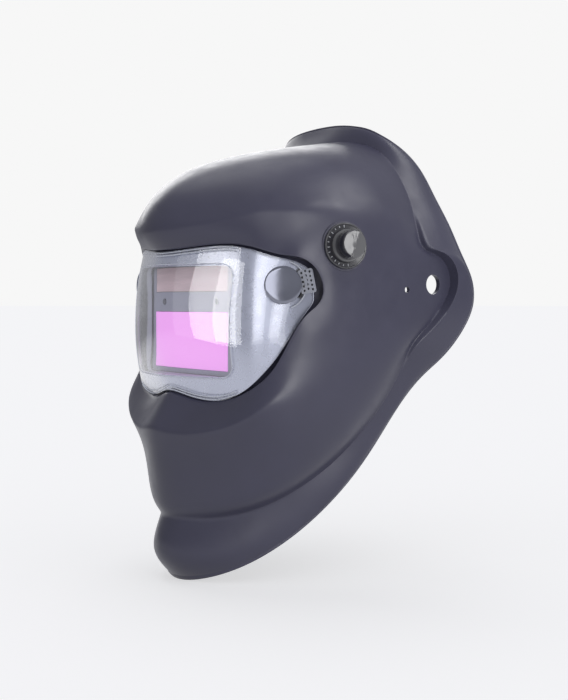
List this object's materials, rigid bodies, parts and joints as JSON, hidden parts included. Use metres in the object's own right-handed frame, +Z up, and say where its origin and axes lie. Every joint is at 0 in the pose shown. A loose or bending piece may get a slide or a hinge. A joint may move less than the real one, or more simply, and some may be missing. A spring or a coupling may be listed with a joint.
{
  "type": "welding helmet",
  "caption": "Moulded welding helmet shell with a silver visor, clear cover, auto-darkening filter cartridge and a side knob for the shade.",
  "frame": {"origin": "midpoint of the line between the two head-pivot holes, where the headgear carries the helmet", "axes": "+Z up, the face looks along -Y, the wearer's left side (the shade knob's side) is +X"},
  "size_m": [0.245, 0.2126, 0.3444],
  "materials": {
    "shell_plastic": "satin",
    "silver_plastic": "metallic silver, semi-gloss",
    "clear_cover": "clear polycarbonate, glossy",
    "dark_plastic": "satin",
    "stud_gloss": "glossy",
    "spring_steel": "bright",
    "filter_face": "satin",
    "filter_glass": "coated magenta glass",
    "lcd_glass": "dark green glass",
    "solar": "solar cell under glass",
    "board": "printed circuit board",
    "red_plastic": "satin",
    "sensor_glass": "glossy",
    "cell_steel": "polished",
    "green_plastic": "satin",
    "knob_plastic": "semi-gloss",
    "brass_shaft": "turned",
    "pot_case": "plated case",
    "cable_rubber": "satin"
  },
  "bodies": {
    "helmet": {"shell": "shell_plastic", "visor_bezel": "silver_plastic", "visor_cover": "clear_cover", "window_hood": "dark_plastic", "stud_clip_left": "spring_steel", "stud_clip_right": "spring_steel", "adf_front_housing": "filter_face", "adf_rear_housing": "dark_plastic", "uv_ir_filter": "filter_glass", "lcd_cell_front": "lcd_glass", "lcd_cell_rear": "lcd_glass", "solar_cell": "solar", "circuit_board": "board", "arc_sensor_left": "sensor_glass", "arc_sensor_right": "sensor_glass", "battery_left": "cell_steel", "battery_right": "cell_steel", "adf_frame": "dark_plastic", "frame_screw_1": "spring_steel", "frame_screw_2": "spring_steel", "frame_screw_3": "spring_steel", "frame_screw_4": "spring_steel", "shade_dial": "dark_plastic", "shade_pot_body": "pot_case", "shade_pot_nut": "spring_steel", "shade_cable": "cable_rubber"},
    "left_stud": {"visor_stud_left": "stud_gloss"},
    "right_stud": {"visor_stud_right": "stud_gloss"},
    "bail": {"adf_bail": "spring_steel"},
    "left_battery_cap": {"battery_cap_left": "dark_plastic"},
    "right_battery_cap": {"battery_cap_right": "dark_plastic"},
    "sensitivity": {"sensitivity_knob": "dark_plastic"},
    "delay": {"delay_knob": "dark_plastic"},
    "test": {"test_button": "green_plastic"},
    "grind": {"grind_switch": "red_plastic"},
    "inner_lens": {"inner_cover_lens": "clear_cover"},
    "shade": {"shade_knob": "knob_plastic", "shade_pot_shaft": "brass_shaft"}
  },
  "joints": [
    {"name": "shade_turn", "type": "hinge", "parent": "helmet", "child": "shade", "pos_m": [0.1042, -0.0822, 0.026], "axis": [0.9551, -0.29, 0.06], "range_deg": [-140, 140]},
    {"name": "left_stud_turn", "type": "hinge", "parent": "helmet", "child": "left_stud", "pos_m": [0.085, -0.1218, -0.001], "axis": [0.8, -0.6, 0], "range_deg": [0, 90]},
    {"name": "right_stud_turn", "type": "hinge", "parent": "helmet", "child": "right_stud", "pos_m": [-0.085, -0.1218, -0.001], "axis": [-0.8, -0.6, 0], "range_deg": [0, 90]},
    {"name": "bail_swing", "type": "hinge", "parent": "helmet", "child": "bail", "pos_m": [0, -0.134, -0.024], "axis": [-1, 0, 0], "range_deg": [0, 75]},
    {"name": "left_cap_turn", "type": "hinge", "parent": "helmet", "child": "left_battery_cap", "pos_m": [0.0365, -0.1302, 0.003], "axis": [0, 1, 0], "range_deg": [0, 45]},
    {"name": "right_cap_turn", "type": "hinge", "parent": "helmet", "child": "right_battery_cap", "pos_m": [-0.0365, -0.1302, 0.003], "axis": [0, 1, 0], "range_deg": [0, 45]},
    {"name": "sensitivity_turn", "type": "hinge", "parent": "helmet", "child": "sensitivity", "pos_m": [-0.014, -0.1302, 0.002], "axis": [0, 1, 0], "range_deg": [-135, 135]},
    {"name": "delay_turn", "type": "hinge", "parent": "helmet", "child": "delay", "pos_m": [0.014, -0.1302, 0.002], "axis": [0, 1, 0], "range_deg": [-135, 135]},
    {"name": "test_push", "type": "slide", "parent": "helmet", "child": "test", "axis": [0, -1, 0], "range_m": [0, 0.0012], "stiffness_N_per_m": 300},
    {"name": "grind_slide", "type": "slide", "parent": "helmet", "child": "grind", "axis": [0, 0, 1], "range_m": [-0.002, 0.002]},
    {"name": "inner_lens_slide", "type": "slide", "parent": "helmet", "child": "inner_lens", "axis": [0, 0, -1], "range_m": [0, 0.05]}
  ]
}
